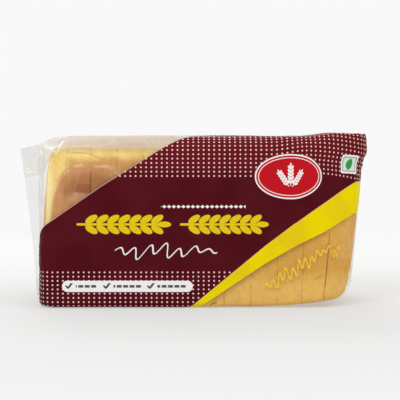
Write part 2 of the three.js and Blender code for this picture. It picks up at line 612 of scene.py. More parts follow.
    def station(self, u: float) -> Station:
        """Returns the section at a flat place along the film."""
        after = min(max(bisect_right(self.places, u), 1), len(self.places) - 1)
        low, high = self.stations[after - 1], self.stations[after]
        share = unit((u - low.u) / (high.u - low.u))
        names = ("x", "half", "left_out", "right_out")
        return Station(u, *(blend(getattr(low, name), getattr(high, name), share) for name in names))

    def flat_at(self, x: float) -> float:
        """Returns the flat place of a base place along X."""
        return next(spot.u for spot in self.stations if spot.x >= x)

    def place(self, spot: Station, v: float, face: Face) -> Vector:
        """Returns the place in millimetres of a point of the film, before any creases.

        Args:
            spot: The section at the point's flat place along the bag.
            v: Its flat place around the bag, which is its height on the flat front.
            face: The half of the film that it is on.

        Returns:
            The point.
        """
        bottom, top = self.underside_at(spot.x), self.top_at(spot.x)
        top = blend(top, self.left_fin_tip_top, spot.left_out) - self.right_fin_drop * spot.right_out
        swollen = smooth(spot.x, self.swell_start_x, self.swell_end_x)
        radius = blend(self.top_radius, self.top_radius_at_right, swollen)
        low_round, high_round = min(self.bottom_radius, spot.half), min(radius, spot.half)
        fall = self.fall_at(spot.x)
        side_low, side_high = bottom + low_round, top - high_round + fall
        low, high = side_low - low_round * math.pi / 2, side_high + high_round * math.pi / 2
        if v < low:
            inward = (low - v) / (low - self.flat_low)
            y = (spot.half - low_round) * (1 - inward)
            z = bottom + inward * self.tuck_at(spot.x, self.low_tuck_length, self.low_tuck_depth)
        elif v < side_low:
            angle = (side_low - v) / low_round
            y = spot.half - low_round * (1 - math.cos(angle))
            z = side_low - low_round * math.sin(angle)
        elif v < side_high:
            y = spot.half
            z = v - fall * smooth(v, self.print_shift_low, self.print_shift_high)
        elif v < high:
            angle = (v - side_high) / high_round
            y = spot.half - high_round * (1 - math.cos(angle))
            z = top - high_round * (1 - math.sin(angle))
        else:
            inward = (v - high) / (self.flat_high - high)
            y = (spot.half - high_round) * (1 - inward)
            z = top - inward * self.tuck_at(spot.x, self.tuck_length, self.tuck_depth)
        x = spot.x + self.spread(spot.x, z) + spot.right_out * self.right_fin_width
        x += spot.left_out * (self.left_fin_edge(z) - self.left_root_x)
        return Vector((x, face.value * y, z))


@dataclass(frozen=True)
class Edge:
    """A straight edge on the flat film, through a place and with a slope."""

    u: float
    v: float
    slope: float

    def at(self, u: Any) -> Any:
        """Returns the edge's height at a place along the film, a number or a shader value."""
        return (u - self.u) * self.slope + self.v


@dataclass(frozen=True)
class PrintLayout:
    """Where the film's fields of colour lie on the flat film, in millimetres."""

    window: tuple[Edge, ...] = (Edge(-95.0, 52.8, 0.692), Edge(-59.3, 77.5, 0.627))
    band_low: tuple[Edge, ...] = (
        Edge(26.6, 15.2, 0.672), Edge(57.2, 34.65, 0.575), Edge(86.4, 48.7, 0.437), Edge(113.0, 60.2, 0.06))
    band_high: tuple[Edge, ...] = (
        Edge(26.5, 23.35, 0.826), Edge(57.2, 47.95, 0.757), Edge(86.85, 66.3, 0.575), Edge(115.0, 82.4, 0.04))
    dot_pitch_along: float = 3.334
    dot_phase_along: float = 0.168
    dot_radius: float = 0.52
    upper_dots_low: float = 84.3
    upper_dot_pitch: float = 2.77
    lower_dots_high: float = 22.68
    lower_dot_pitch: float = 2.73
    lower_dots_low: float = 1.3


@dataclass(frozen=True)
class Ink:
    """The colours of the film's print, as they look in even light, except the upper deep red, which is
    painted lighter as if lit from above.
    """

    field: Colour = linear(82, 19, 28)
    field_dark: Colour = linear(74, 13, 23)
    # Painted light: the deep red made lighter towards the top of the bag, where the light from above falls.
    field_lit_top: Colour = linear(96, 23, 29)
    dot: Colour = linear(252, 212, 204)
    band: Colour = linear(229, 206, 3)
    band_deep: Colour = linear(222, 192, 20)
    lettering: Colour = linear(218, 190, 25)
    pen: Colour = linear(228, 190, 20)
    white: Colour = linear(236, 232, 230)
    grey: Colour = linear(78, 76, 80)
    badge: Colour = linear(184, 22, 34)
    leaf: Colour = linear(62, 142, 82)
    leaf_ground: Colour = linear(196, 222, 204)
    edge: Colour = linear(228, 196, 178)


@dataclass(frozen=True)
class PrintedFilm:
    """The opaque printed film: deep red, dots, the yellow band and plain ornaments."""

    layout: PrintLayout = PrintLayout()
    ink: Ink = Ink()
    roughness: float = 0.45
    specular: float = 0.02

    def dots(self, u: Value, v: Value) -> Value:
        """Draws the two fields of dots, over the top edge and along the foot."""
        lay = self.layout
        across = (u - lay.dot_phase_along).wrapped(lay.dot_pitch_along)
        high = (v - lay.upper_dots_low).wrapped(lay.upper_dot_pitch)
        low = (v - lay.lower_dots_high).wrapped(lay.lower_dot_pitch)
        upper = v.ramp(lay.upper_dots_low - 1.2, lay.upper_dots_low - 1.19)
        lower = v.ramp(lay.lower_dots_high + 1.2, lay.lower_dots_high + 1.19)
        lower = lower * v.ramp(lay.lower_dots_low - 1.2, lay.lower_dots_low - 1.19)
        reach = across.hypot(high * upper + low * (1 - upper))
        return reach.ramp(lay.dot_radius + 0.16, lay.dot_radius - 0.16) * upper.most(lower)

    def lowest(self, edges: tuple[Edge, ...], u: Value) -> Value:
        """Returns the height of the lowest of some edges at a place along the film."""
        return reduce(Value.least, [edge.at(u) for edge in edges])

    def pill(self, u: Value, v: Value) -> tuple[Value, Value]:
        """Draws the pill and its dark ticks and bars, and returns both masks."""
        flat, middle, marks = Drawing(u, v), 13.7, []
        for tick, low, high in ((-79.7, -75.0, -61.6), (-55.5, -50.9, -32.4), (-27.4, -22.9, -4.6)):
            marks.append(Drawing(u + v * 0.8, v).bar(
                (tick - 1.2 + middle * 0.8, middle - 0.4), (0.75, 1.0), 0.3))
            marks.append(Drawing(u - v * 0.75, v).bar(
                (tick + 0.7 - middle * 0.75, middle + 0.3), (0.85, 1.75), 0.3))
            bar = flat.bar(((low + high) / 2, middle), ((high - low) / 2, 0.85), 0.6)
            marks.append(bar * (1 - abs(u.wrapped(4.1)).ramp(0.6, 0.4) * 0.9))
        return flat.bar((-41.9, middle), (41.8, 3.6), 3.5), reduce(Value.most, marks)

    def panel(self, u: Value, v: Value) -> tuple[Value, Value]:
        """Draws the back's plain ruled panel, and returns the masks of its ground and of its rules."""
        flat, middle = Drawing(u, v), (-46.0, 27.0)
        rules = abs((v - middle[1]).wrapped(4.4)).ramp(0.3, 0.12) * flat.bar(middle, (31.5, 13.6), 0.5)
        post = flat.bar((-33.0, middle[1]), (0.25, 13.4), 0.2)
        return flat.bar(middle, (34.0, 15.5), 2.0), rules.most(post) * 0.7

    def badge(self, flat: Drawing, centre: Pair, radii: Pair) -> tuple[tuple[Value, Colour], ...]:
        """Draws the badge.

        Args:
            flat: What it is drawn on.
            centre: Its centre.
            radii: Its two radii.

        Returns:
            Its coats: the white rim, the red field, and the white ring and sheaf on it.
        """
        rim, red, outer, inner = (
            flat.ellipse(centre, (radii[0] - inset, radii[1] - inset)) for inset in (0, 0.9, 2.1, 2.6))
        sheaf = []
        for lean in (-34.0, 0.0, 34.0):
            angle = math.radians(lean)
            du, dv = flat.u - centre[0], flat.v - (centre[1] - 8.0)
            along = dv * math.cos(angle) + du * math.sin(angle)
            aside = du * math.cos(angle) - dv * math.sin(angle)
            sheaf.append(Drawing(along, aside).ear((2.0, 0.0), 13.4 - abs(lean) * 0.05, 1.9, 5))
        white = (outer * (1 - inner)).most(reduce(Value.most, sheaf)) * red
        return (rim, self.ink.white), (red, self.ink.badge), (white, self.ink.white)

    def leaf_mark(self, flat: Drawing, centre: Pair) -> tuple[tuple[Value, Colour], ...]:
        """Draws the small framed leaf.

        Args:
            flat: What it is drawn on.
            centre: Its centre.

        Returns:
            Its coats: the white square, the pale ground, the frame's line and the leaf.
        """
        square = flat.bar(centre, (7.1, 5.8), 0.8)
        line = flat.bar(centre, (5.9, 4.7), 0.5)
        inner = flat.bar(centre, (5.2, 4.1), 0.4)
        left, right = (flat.ellipse((centre[0] + side, centre[1]), (4.0, 3.2), 50.0) for side in (-0.8, 0.8))
        return ((square, self.ink.white), (inner, self.ink.leaf_ground),
                (line * (1 - inner) * 0.8, self.ink.grey), (left * right, self.ink.leaf))

    def material(self, name: str, face: Face) -> bpy.types.Material:
        """Makes the printed film's material.

        Args:
            name: The material's name.
            face: The half of the film that it is for.

        Returns:
            The material.
        """
        made = bpy.data.materials.new(name)
        nodes = Nodes(made)
        place = nodes.flat_place()
        u, v = nodes.parts(place, 2)
        flat, lay, ink = Drawing(u, v), self.layout, self.ink
        cloud = nodes.noise(place, 34.0)
        title = flat.ear((-74.3, 53.4), 56.0, 6.2, 7).most(flat.ear((-8.3, 53.4), 52.6, 6.2, 7))
        lozenge = (abs(u.wrapped(3.05)) * 0.8 + abs(v - 64.75)).ramp(1.25, 0.95)
        lozenge = lozenge * u.ramp(-20.4, -20.3) * u.ramp(33.6, 33.5)
        ground, marks = self.pill(u, v) if face is Face.FRONT else self.panel(u, v)
        # The deep red fades to a lighter red near the top: painted light from above.
        colour = nodes.paint(
            ink.field_dark, (cloud.ramp(0.35, 0.7), ink.field), (v.ramp(80.0, 92.0), ink.field_lit_top),
            (self.dots(u, v) * 0.94, ink.dot), (title, ink.lettering), (lozenge, ink.white),
            (ground, ink.white), (marks, ink.grey))
        if face is Face.FRONT:
            raised = v + u.ramp(50.0, 74.0) * v.ramp(50.0, 84.0) * 2.6 - (u - 66.0).most(0.0) * 0.06
            mark = (108.2, 92.4)
            level = v - (u - mark[0]) * 0.1
            colour = nodes.paint(
                colour, (flat.flourish((-50.0, 36.4), 66.0, 0.0, 5.0, 9.6, 0.4), ink.white),
                *self.badge(Drawing(u, raised), (62.3, 83.9), (22.9, 14.4)),
                *self.leaf_mark(Drawing(u, level), mark))
        band_high = self.lowest(lay.band_high, u)
        band_edge = abs(v - band_high).ramp(0.4, 0.15)
        window_edge = (self.lowest(lay.window, u) - v).ramp(0.6, 0.4)
        yellow = nodes.mix(cloud.ramp(0.4, 0.65), ink.band, ink.band_deep)
        colour = nodes.paint(
            colour, ((v - band_high).ramp(0.1, -0.1), yellow),
            ((band_edge * 0.2).most(window_edge * 0.6), ink.edge))
        nodes.finish(colour, self.roughness, self.specular, nodes.noise(place, 260.0), (0.18, 0.0004))
        return made


@dataclass(frozen=True)
class ClearFilm:
    """The clear film of the windows and fins: see-through, whiter where it is seen edge on, and whiter along
    its creases, partly as painted highlight.
    """

    haze: float = 0.02
    haze_colour: Colour = linear(255, 255, 252)
    clear: Colour = (0.975, 0.974, 0.968)
    fin: Colour = (0.935, 0.934, 0.928)
    rounded: Colour = (0.915, 0.89, 0.84)
    rounded_haze: float = 0.6
    rounded_colour: Colour = linear(208, 202, 192)
    rounded_colour_right: Colour = linear(200, 187, 174)
    ink: Ink = Ink()
    roughness: float = 0.16

    def material(self, name: str, form: BagForm) -> bpy.types.Material:
        """Makes the clear film's material.

        Args:
            name: The material's name.
            form: The bag's form.

        Returns:
            The material.
        """
        made = bpy.data.materials.new(name)
        nodes = Nodes(made)
        u, v = nodes.parts(nodes.flat_place(), 2)
        flat = Drawing(u, v)
        pen = flat.flourish((46.0, 13.0), 52.0, 30.5, 3.8, 4.9, 0.55).most(
            flat.flourish((91.0, 33.0), 10.5, 33.0, 2.8, 3.4, 0.45))
        # Creases make the film whiter, partly as a painted highlight along them.
        stress = nodes.attribute(STRESS)
        facing = Value(nodes, nodes.add("ShaderNodeLayerWeight", {}, {"Blend": 0.5}).outputs["Facing"])
        over = v.ramp(100.4, 105.0) * u.ramp(form.flat_at(-99.0), form.flat_at(-92.0))
        top = over * (1 - v.ramp(112.0, 124.0) * 0.8)
        share = stress * 0.6 + facing ** 5.0 * 0.12 + self.haze + top * self.rounded_haze
        milk = nodes.mix(u.ramp(-90.0, -40.0), self.rounded_colour, self.rounded_colour_right)
        milk = nodes.mix(over * 0.95, self.haze_colour, milk)
        colour = nodes.paint(milk, (stress, self.haze_colour), (pen * 4.0, self.ink.pen))
        at_fin = u.ramp(form.flat_at(-99.0), form.flat_at(-100.2))
        through = nodes.layer(at_fin, nodes.clear(self.clear), nodes.clear(self.fin))
        through = nodes.layer(top, through, nodes.clear(self.rounded))
        gloss = nodes.add("ShaderNodeBsdfPrincipled", {}, {
            "Base Color": colour, "Roughness": self.roughness, "Specular IOR Level": 0.5})
        nodes.output(nodes.layer(share.least(0.9).most(pen), through, gloss.outputs[0]))
        return made


@dataclass(frozen=True)
class Crease:
    """A straight crease on the flat film, from one place to another, in millimetres."""

    start: Pair
    end: Pair
    width: float
    height: float
    shine: float = 1.0

    def at(self, u: float, v: float) -> float:
        """Returns how much of the crease is at a flat place, from 0 to 1."""
        du, dv = self.end[0] - self.start[0], self.end[1] - self.start[1]
        share = unit(((u - self.start[0]) * du + (v - self.start[1]) * dv) / (du * du + dv * dv))
        gap = math.hypot(u - self.start[0] - du * share, v - self.start[1] - dv * share)
        return max(0.0, 1 - gap / self.width) ** 2


def fan(seed: int, root: Pair, ends: Pair, heights: Pair, count: int) -> list[Crease]:
    """Spreads straight creases out from the root of a fin.

    Args:
        seed: The seed of their small differences.
        root: The flat place that they run out from.
        ends: Between which places along the film they end.
        heights: Between which places around the film they end.
        count: How many there are.

    Returns:
        The creases.
    """
    draw = random.Random(seed)
    made = []
    for number in range(count):
        v = blend(*heights, (number + draw.uniform(0.2, 0.8)) / count)
        end = (blend(*ends, draw.random()), v)
        near = draw.uniform(0.0, 0.3)
        start = (blend(root[0], end[0], near), blend(root[1], v, near) + draw.uniform(-4.0, 4.0))
        width, height, shine = draw.uniform(1.2, 1.9), draw.uniform(0.3, 0.8), draw.uniform(0.15, 0.5)
        made.append(Crease(start, end, width, height, shine))
    return made


@dataclass
class FilmHalf:
    """One half of the film, front or back, from the middle of the underside to the middle of the top."""

    form: BagForm
    face: Face
    printed: PrintedFilm
    clear: ClearFilm
    cell: float = 1.25
    seam_fade: float = 5.0
    print_margin: float = 12.0
    end_zone: Pair = (88.0, 99.0)
    top_zone: Pair = (96.0, 118.0)
    left_calm_heights: Pair = (66.0, 84.0)
    left_calm_depths: Pair = (48.0, 12.0)
    creases: list[Crease] = field(default_factory=list)

    def grid(self) -> bmesh.types.BMesh:
        """Returns the flat print, cut along the borders of its fields.

        Two layers of its vertices keep their places on the film, which differ where the print is askew.
        """
        form, lay = self.form, self.printed.layout
        width = form.places[-1] - form.places[0]
        height = form.flat_high - form.flat_low
        bm = bmesh.new()
        bmesh.ops.create_grid(
            bm, x_segments=round(width / self.cell), y_segments=round(height / self.cell), size=0.5)
        bmesh.ops.scale(bm, vec=(width, height, 1), verts=bm.verts)
        centre = ((form.places[0] + form.places[-1]) / 2, (form.flat_low + form.flat_high) / 2, 0)
        bmesh.ops.translate(bm, vec=centre, verts=bm.verts)
        along, around = bm.verts.layers.float.new(ALONG), bm.verts.layers.float.new(AROUND)
        for vert in bm.verts:
            vert[along], vert[around] = vert.co.x, vert.co.y
            vert.co.x = form.print_at(form.station(vert.co.x), vert.co.y)
        cuts = [((edge.u, edge.v, 0), (-edge.slope, 1, 0)) for edge in (*lay.window, *lay.band_low)]
        cuts.append(((self.print_start, 0, 0), (1, 0, 0)))
        for place, normal in cuts:
            parts = [*bm.verts, *bm.edges, *bm.faces]
            bmesh.ops.bisect_plane(bm, geom=parts, plane_co=place, plane_no=normal, dist=0.02)
        return bm

    @property
    def print_start(self) -> float:
        """The flat place where the print starts, just short of the left fin."""
        return self.form.flat_at(self.form.left_root_x) + self.print_margin

    def is_printed(self, u: float, v: float) -> bool:
        """Tells whether the film is printed at a flat place."""
        lay = self.printed.layout
        inside = all(v < edge.at(u) for edge in lay.window) and any(v > edge.at(u) for edge in lay.band_low)
        return inside and u > self.print_start

    def relief(self, spot: Station, v: float) -> Pair:
        """Returns how far the film stands off its smooth form at a flat place, and how creased it is there.

        Args:
            spot: The section at the place.
            v: The place around the bag.

        Returns:
            The height in millimetres and the creasing from 0 to 1.
        """
        form, layer = self.form, 3.0 + self.face.value
        u = spot.u
        end = smooth(abs(spot.x - 4.0), *self.end_zone)
        top = smooth(v, *self.top_zone)
        calm = 0.30 * ripple(u / 46, v / 38, layer) + 0.10 * ripple(u / 15, v / 17, layer + 4)
        waves = 0.7 * top * ripple(u / 34, v / 13, layer + 8)
        ridge = max(0.0, 1 - abs(ripple(u / 11 + 0.03 * v, v / 34, layer + 12)) * 3.2)
        fine = max(0.0, 1 - abs(ripple(u / 14, v / 17, layer + 16)) * 4.0)
        crinkle = fine ** 3 * (0.05 + 0.2 * end + 0.25 * top)
        depths = [crease.at(u, v) for crease in self.creases]
        marks = sum(depth * crease.shine for depth, crease in zip(depths, self.creases))
        tall = sum(depth * crease.height for depth, crease in zip(depths, self.creases))
        fade = smooth(v, form.flat_low, form.flat_low + self.seam_fade)
        fade *= smooth(v, form.flat_high, form.flat_high - self.seam_fade)
        shut = smooth(form.sheet_gap * 12 - spot.half, 0, form.sheet_gap * 8)
        fade *= 1 - max(spot.left_out, spot.right_out, shut)
        if spot.x < 0:
            fade *= 1 - smooth(v, *self.left_calm_heights) * smooth(spot.half, *self.left_calm_depths)
        stress = min(1.0, ridge ** 6 * end * 0.12 + fine ** 5 * (0.02 + 0.1 * end + 0.12 * top) + marks)
        return (calm + waves + end * 0.6 * ridge ** 2 + 0.5 * crinkle + tall) * fade, stress

    def sway(self, spot: Station, z: float) -> float:
        """Returns how far both sheets of a fin lean towards the back or front at a height."""
        out = spot.left_out + spot.right_out
        return out * (1.6 * ripple(z / 27, 0.3, 2.0) + 0.8 * ripple(z / 9, out, 6.0))

    def build(self) -> bpy.types.Object:
        """Builds the half of the film and dresses it.

        Returns:
            The finished piece.
        """
        form = self.form
        bm = self.grid()
        flat_map, bake_map = bm.loops.layers.uv.new(FLAT_MAP), bm.loops.layers.uv.new(BAKE_MAP)
        stress_layer = bm.verts.layers.float.new(STRESS)
        along, around = bm.verts.layers.float[ALONG], bm.verts.layers.float[AROUND]
        low_u, high_u = form.places[0], form.places[-1]
        for part in bm.faces:
            middle = part.calc_center_median()
            part.material_index = 0 if self.is_printed(middle.x, middle.y) else 1
            part.smooth = True
            for loop in part.loops:
                u, v = loop.vert[along], loop.vert[around]
                loop[flat_map].uv = (loop.vert.co.x * MM, v * MM)
                across = (u - low_u) / (high_u - low_u)
                loop[bake_map].uv = (across, (v - form.flat_low) / (form.flat_high - form.flat_low))
        offsets = {}
        for vert in bm.verts:
            v = vert[around]
            spot = form.station(vert[along])
            place = form.place(spot, v, self.face)
            place.y += self.sway(spot, place.z)
            offsets[vert], vert[stress_layer] = self.relief(spot, v)
            vert.co = place
        if self.face is Face.BACK:
            bmesh.ops.reverse_faces(bm, faces=bm.faces)
        bm.normal_update()
        for vert, height in offsets.items():
            vert.co += vert.normal * height
        for vert in bm.verts:
            vert.co.z = max(vert.co.z, 0.0)
            vert.co *= MM
        side = self.face.name.lower()
        piece = as_piece(
            bm, f"film_{side}", self.printed.material(f"printed_film_{side}", self.face),
            self.clear.material(f"clear_film_{side}", form))
        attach(piece, BODY)
        return piece


@dataclass(frozen=True)
class BreadCrust:
    """The crust: golden, paler on the rounded edges, browner where it baked against the tin, with painted
    glints and sheen where the film catches light, and painted shade in a dent, in folds, in cracks and in the
    gaps between slices.
    """

    tan: Colour = linear(222, 170, 66)
    tan_deep: Colour = linear(214, 158, 56)
    foot: Colour = linear(232, 184, 86)
    left: Colour = linear(210, 160, 90)
    left_deep: Colour = linear(198, 146, 78)
    rim: Colour = linear(254, 228, 142)
    rim_deep: Colour = linear(248, 212, 118)
    rim_low: Colour = linear(222, 168, 82)
    edge: Colour = linear(255, 244, 184)
    brown: Colour = linear(204, 144, 88)
    brown_deep: Colour = linear(164, 104, 54)
    # The next five colours are painted light: shade in a dent, a sheen, glints, shade in folds, and shade in
    # cracks and gaps.
    dimple_shade: Colour = linear(144, 78, 12)
    painted_sheen: Colour = linear(210, 154, 128)
    painted_glint: Colour = linear(236, 206, 160)
    crease: Colour = linear(172, 118, 62)
    gap_shade: Colour = linear(112, 62, 26)

    def zone(self, x: Value, z: Value, wobble: Value) -> Value:
        """Returns 1 at the edge of the browned zone, less inside it and more outside."""
        across, up = abs((x + 67.0) / 21.2) ** 2.9, abs((z - 58.0) / 34.5) ** 3.1
        return (across + up) ** 0.333 + wobble

    def material(self, loaf: "Loaf") -> bpy.types.Material:
        """Makes the crust's material.

        Args:
            loaf: The loaf, for its size and place.

        Returns:
            The material.
        """
        made = bpy.data.materials.new("bread_crust")
        nodes = Nodes(made)
        place = nodes.solid_place()
        x, y, z = nodes.parts(place, 3)
        side = Drawing(x, z)
        blotch, mottle, grain = nodes.noise(place, 70.0), nodes.noise(place, 250.0), nodes.noise(place, 620.0)
        broad = nodes.noise(place, 26.0, 2.0)
        to_end = loaf.half_length - abs(x - loaf.middle_x)
        to_side = loaf.half_depth - abs(y)
        to_top = (loaf.half_height - abs(z - loaf.middle_z)).most(0.0)
        edge = to_end.least(to_side).most(to_end.most(to_side).least(to_top))
        worn = edge + (blotch - 0.5) * 4 + (broad - 0.5) * 5 + x.ramp(-66.0, -50.0) * 2.0
        high = x.ramp(30.0, -30.0) * 0.8 + z.ramp(30.0, 60.0) * 0.2
        zone = self.zone(x - (z - 74.0) * 0.15, z, (broad - 0.5) * 0.3 + (blotch - 0.5) * 0.14)
        on_side = abs(y).ramp(loaf.half_depth - 9, loaf.half_depth - 5)
        corner = zone.ramp(1.0, 1.12) * x.ramp(-76.0, -83.0) * on_side

        left = nodes.mix(blotch.ramp(0.3, 0.7), self.left, self.left_deep)
        pale = nodes.paint(
            self.rim, (blotch.ramp(0.35, 0.75), self.rim_deep), (z.ramp(86.0, 60.0) * 0.85, self.rim_low))
        straight = nodes.attribute(LOAF_X)
        cut = abs((straight.least(loaf.last_cut_x + 2.0) - loaf.last_cut_x).wrapped(loaf.pitch))
        # Painted shade: dark lines in the gaps between slices, and a wider dark gap low down near the right
        # end.
        seam = cut.ramp(0.5, 0.1) * mottle.ramp(0.35, 0.65) * to_end.ramp(3.0, 6.0)
        open_seam = cut.ramp(0.75, 0.2) * to_end.ramp(26.0, 22.0) * z.ramp(56.0, 30.0) * x.ramp(80.0, 82.0)
        on_end = (1 - on_side) * edge.ramp(10.0, 16.0) * to_end.ramp(6.0, 2.0)
        toasted = (zone.ramp(1.03, 0.93) * on_side).most(on_end * 0.8)
        deep = (blotch * 0.5 + zone.ramp(0.98, 0.6) * 0.6 - z.ramp(79.0, 64.0) * 0.5).ramp(0.2, 0.8)
        # Painted highlight: a pale glint line along the top of the browned zone.
        rim_glint = abs(zone - 1.0).ramp(0.06, 0.0) * on_side * z.ramp(68.0, 76.0) * mottle.ramp(0.36, 0.6)
        # Painted shade of a small dent in the crust.
        dimple_shade = side.reach((-70.2, 76.2), (5.4, 3.0), 4.0, (mottle - 0.5) * 1.6).ramp(1.5, 0.3)
        # Painted sheen: a pinkish highlight low in the browned zone.
        painted_sheen = side.reach((-73.5, 70.5), (7.0, 3.2), 2.0, (mottle - 0.5) * 1.2).ramp(1.6, 0.2)
        # Painted shade along two folds near the top of the crust.
        fold_shade = side.line((-77.0, 99.2), (-67.5, 98.6), 0.45).most(
            side.line((-67.5, 98.6), (-56.0, 94.6), 0.5))
        # Painted shade in cracks of the crust and along two of the gaps between slices.
        cracks = side.line((-65.2, 86.0), (-65.4, 73.5), 0.6).most(
            side.line((77.2, 17.4), (83.2, 20.6), 0.4) * 0.5).most(
            side.line((11.0, 1.6), (15.0, 3.2), 0.7)).most(
            side.line((84.9, 12.0), (85.6, 22.0), 0.5) * 0.4)
        tall = nodes.add("ShaderNodeMapping", {}, {"Vector": place, "Scale": (1.0, 1.0, 0.22)})
        streaks = nodes.noise(tall.outputs[0], 300.0)
        specks = mottle.ramp(0.35, 0.75) * 0.16 + grain.ramp(0.3, 0.75) * 0.14
        colour = nodes.paint(
            self.tan, (blotch.ramp(0.3, 0.7), self.tan_deep), (z.ramp(26.0, 12.0), self.foot),
            (x.ramp(10.0, -50.0), left),
            ((worn.ramp(12.5, 6.0) * (high * 0.8 + 0.1)).most(corner * 0.85), pale),
            (worn.ramp(7.0, 2.0) * high * 0.75, self.edge),
            ((seam * 0.22).most(open_seam * 0.6 * mottle.ramp(0.2, 0.6)), self.gap_shade),
            (toasted, nodes.mix(deep, self.brown, self.brown_deep)),
            (rim_glint * 0.75, self.painted_glint),
            (dimple_shade * on_side * 0.95, self.dimple_shade),
            (painted_sheen * on_side * 0.5, self.painted_sheen),
            (fold_shade * on_side * 0.65, self.crease),
            (cracks * on_side * 0.7, self.gap_shade),
            (streaks.ramp(0.45, 0.75) * (on_side * 0.26 + 0.06) * (toasted * 0.8 + 0.2), self.brown_deep),
            # Painted glints: pale streaks in the browned zone.
            (streaks.ramp(0.42, 0.22) * toasted * on_side * 0.3, self.painted_glint),
            (specks * (1 - worn.ramp(9.0, 3.0) * high * 0.6), self.brown_deep))
        height = grain * 0.5 + mottle * 0.8 + streaks * toasted - toasted * 0.9 - cracks * 1.5 - seam * 1.2
        nodes.finish(colour, 0.72, 0.25, height, (0.5, 0.0007))
        return made


@dataclass(frozen=True)
class BreadCrumb:
    """The cut faces of the slices: pale brown crumb with fine open pores, painted darker inside them as
    shade.
    """

    crumb: Colour = linear(226, 196, 146)
    crumb_deep: Colour = linear(196, 158, 104)

    def material(self) -> bpy.types.Material:
        """Makes the crumb's material."""
        made = bpy.data.materials.new("bread_crumb")
        nodes = Nodes(made)
        place = nodes.solid_place()
        pores = nodes.value(
            "ShaderNodeTexVoronoi", {"feature": "SMOOTH_F1"}, {"Vector": place, "Scale": 420.0})
        soft = nodes.noise(place, 160.0, 4.0)
        # Darker in the pores as painted shade, and in soft random patches.
        deep = (pores * 1.1).ramp(0.45, 0.1) * 0.5 + soft.ramp(0.35, 0.7) * 0.3
        nodes.finish(nodes.mix(deep, self.crumb, self.crumb_deep), 0.9, 0.15, pores, (0.7, 0.0008))
        return made


